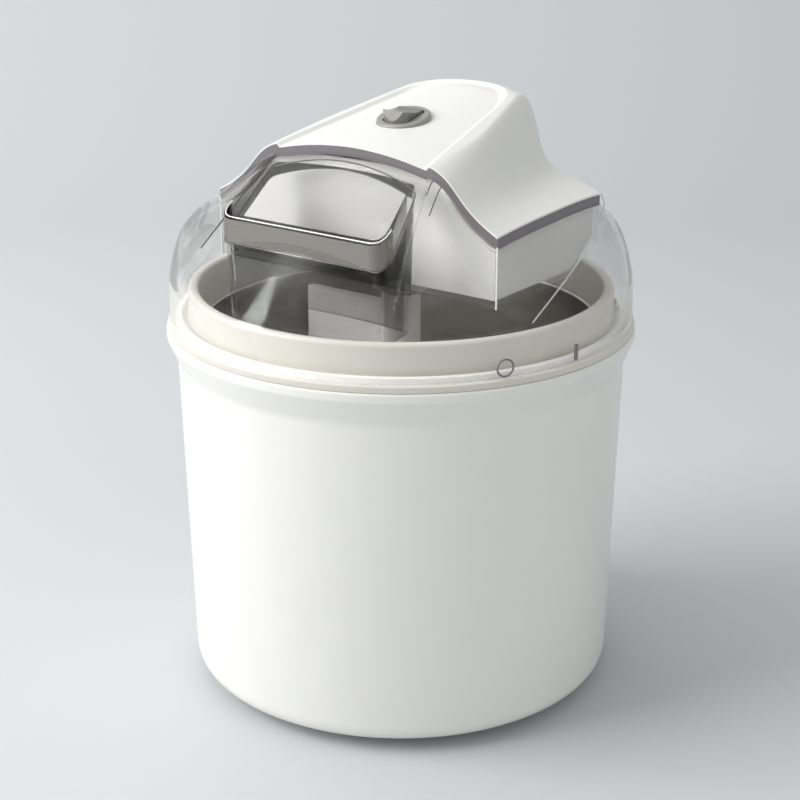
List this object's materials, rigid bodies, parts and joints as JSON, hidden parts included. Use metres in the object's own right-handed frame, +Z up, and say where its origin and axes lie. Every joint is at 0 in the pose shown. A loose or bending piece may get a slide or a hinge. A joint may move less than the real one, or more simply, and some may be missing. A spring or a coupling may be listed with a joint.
{
  "type": "ice cream maker",
  "caption": "Ice cream maker: white bucket with a removable freezer bowl and paddle, a clear domed lid with a fill chute, and a lift-off motor unit with a rocker switch on top.",
  "frame": {"origin": "on the table under the middle of the bucket", "axes": "+Z up, -Y the side with the fill chute, +X to the right of someone facing that side"},
  "size_m": [0.2, 0.2, 0.2572],
  "materials": {
    "white_shell": "satin white",
    "white_cover": "satin white",
    "clear_plastic": "clear polycarbonate, glossy",
    "beige_collar": "satin beige",
    "bowl_aluminium": "brushed round the axis",
    "jacket_plastic": "satin",
    "gel": "frozen coolant",
    "seal_rubber": "matt",
    "foot_rubber": "matt",
    "slip_plastic": "satin",
    "tray_plastic": "satin grey",
    "steel": "turned",
    "steel_sheet": "zinc plated",
    "black_plastic": "matt",
    "brass": "bright",
    "bezel_grey": "satin grey",
    "rocker_grey": "satin dark grey",
    "gear_plastic": "natural nylon",
    "paddle_plastic": "satin white",
    "rim_grey": "satin grey, a separate moulding bonded to the clear lid"
  },
  "bodies": {
    "base": {"outer_housing": "white_shell", "foot_1": "foot_rubber", "foot_2": "foot_rubber", "foot_3": "foot_rubber", "foot_4": "foot_rubber"},
    "bowl": {"bowl_liner": "bowl_aluminium", "bowl_jacket": "jacket_plastic", "coolant_gel": "gel", "bowl_collar": "beige_collar", "collar_gasket": "seal_rubber", "bowl_pivot": "jacket_plastic"},
    "lid_ring": {"lid_slip_ring": "slip_plastic"},
    "lid": {"clear_lid": "clear_plastic", "lid_rim": "rim_grey"},
    "motor_unit": {"motor_tray": "tray_plastic", "motor_cover": "white_cover", "gear_plate": "steel_sheet", "first_axle": "steel", "second_axle": "steel", "cover_screws": "steel", "gear_plate_screws": "steel", "motor_screws": "steel", "motor_can": "steel_sheet", "motor_end_cap": "black_plastic", "motor_terminals": "brass", "shaft_bush": "brass", "shaft_seal": "seal_rubber", "switch_bezel": "bezel_grey", "switch_terminals": "brass", "cord_grommet": "seal_rubber"},
    "drive": {"drive_shaft": "steel", "output_gear": "gear_plastic", "shaft_clip": "steel"},
    "second_stage": {"second_gear": "gear_plastic"},
    "first_stage": {"first_gear": "gear_plastic"},
    "rotor": {"motor_rotor": "steel", "motor_pinion": "brass"},
    "rocker": {"switch_rocker": "rocker_grey"},
    "paddle": {"paddle": "paddle_plastic"}
  },
  "joints": [
    {"name": "bowl_lift", "type": "slide", "parent": "base", "child": "bowl", "axis": [0, 0, 1], "range_m": [0, 0.18]},
    {"name": "lid_turn", "type": "hinge", "parent": "bowl", "child": "lid_ring", "pos_m": [0, 0, 0.164], "axis": [0, 0, 1], "range_deg": [-20, 0]},
    {"name": "lid_lift", "type": "slide", "parent": "lid_ring", "child": "lid", "axis": [0, 0, 1], "range_m": [0, 0.12]},
    {"name": "motor_unit_lift", "type": "slide", "parent": "lid", "child": "motor_unit", "axis": [0, 0, 1], "range_m": [0, 0.1]},
    {"name": "switch_rock", "type": "hinge", "parent": "motor_unit", "child": "rocker", "pos_m": [0, 0.002, 0.2449], "axis": [1, 0, 0], "range_deg": [0, 16]},
    {"name": "drive_spin", "type": "hinge", "parent": "motor_unit", "child": "drive", "pos_m": [0, 0, 0.19], "axis": [0, 0, 1], "continuous": true},
    {"name": "second_gear_spin", "type": "hinge", "parent": "motor_unit", "child": "second_stage", "pos_m": [0.03, -0.00038, 0.195], "axis": [0, 0, 1], "continuous": true},
    {"name": "first_gear_spin", "type": "hinge", "parent": "motor_unit", "child": "first_stage", "pos_m": [0.02099, 0.02186, 0.2], "axis": [0, 0, 1], "continuous": true},
    {"name": "motor_spin", "type": "hinge", "parent": "motor_unit", "child": "rotor", "pos_m": [0, 0.0335, 0.22], "axis": [0, 0, 1], "continuous": true},
    {"name": "paddle_spin", "type": "hinge", "parent": "lid_ring", "child": "paddle", "pos_m": [0, 0, 0.04], "axis": [0, 0, 1], "continuous": true}
  ],
  "couplings": [
    {"joint": "second_gear_spin", "follows": "drive_spin", "ratio": -3.2857},
    {"joint": "first_gear_spin", "follows": "drive_spin", "ratio": 13.143},
    {"joint": "motor_spin", "follows": "drive_spin", "ratio": -52.571},
    {"joint": "paddle_spin", "follows": "drive_spin", "ratio": 1}
  ]
}
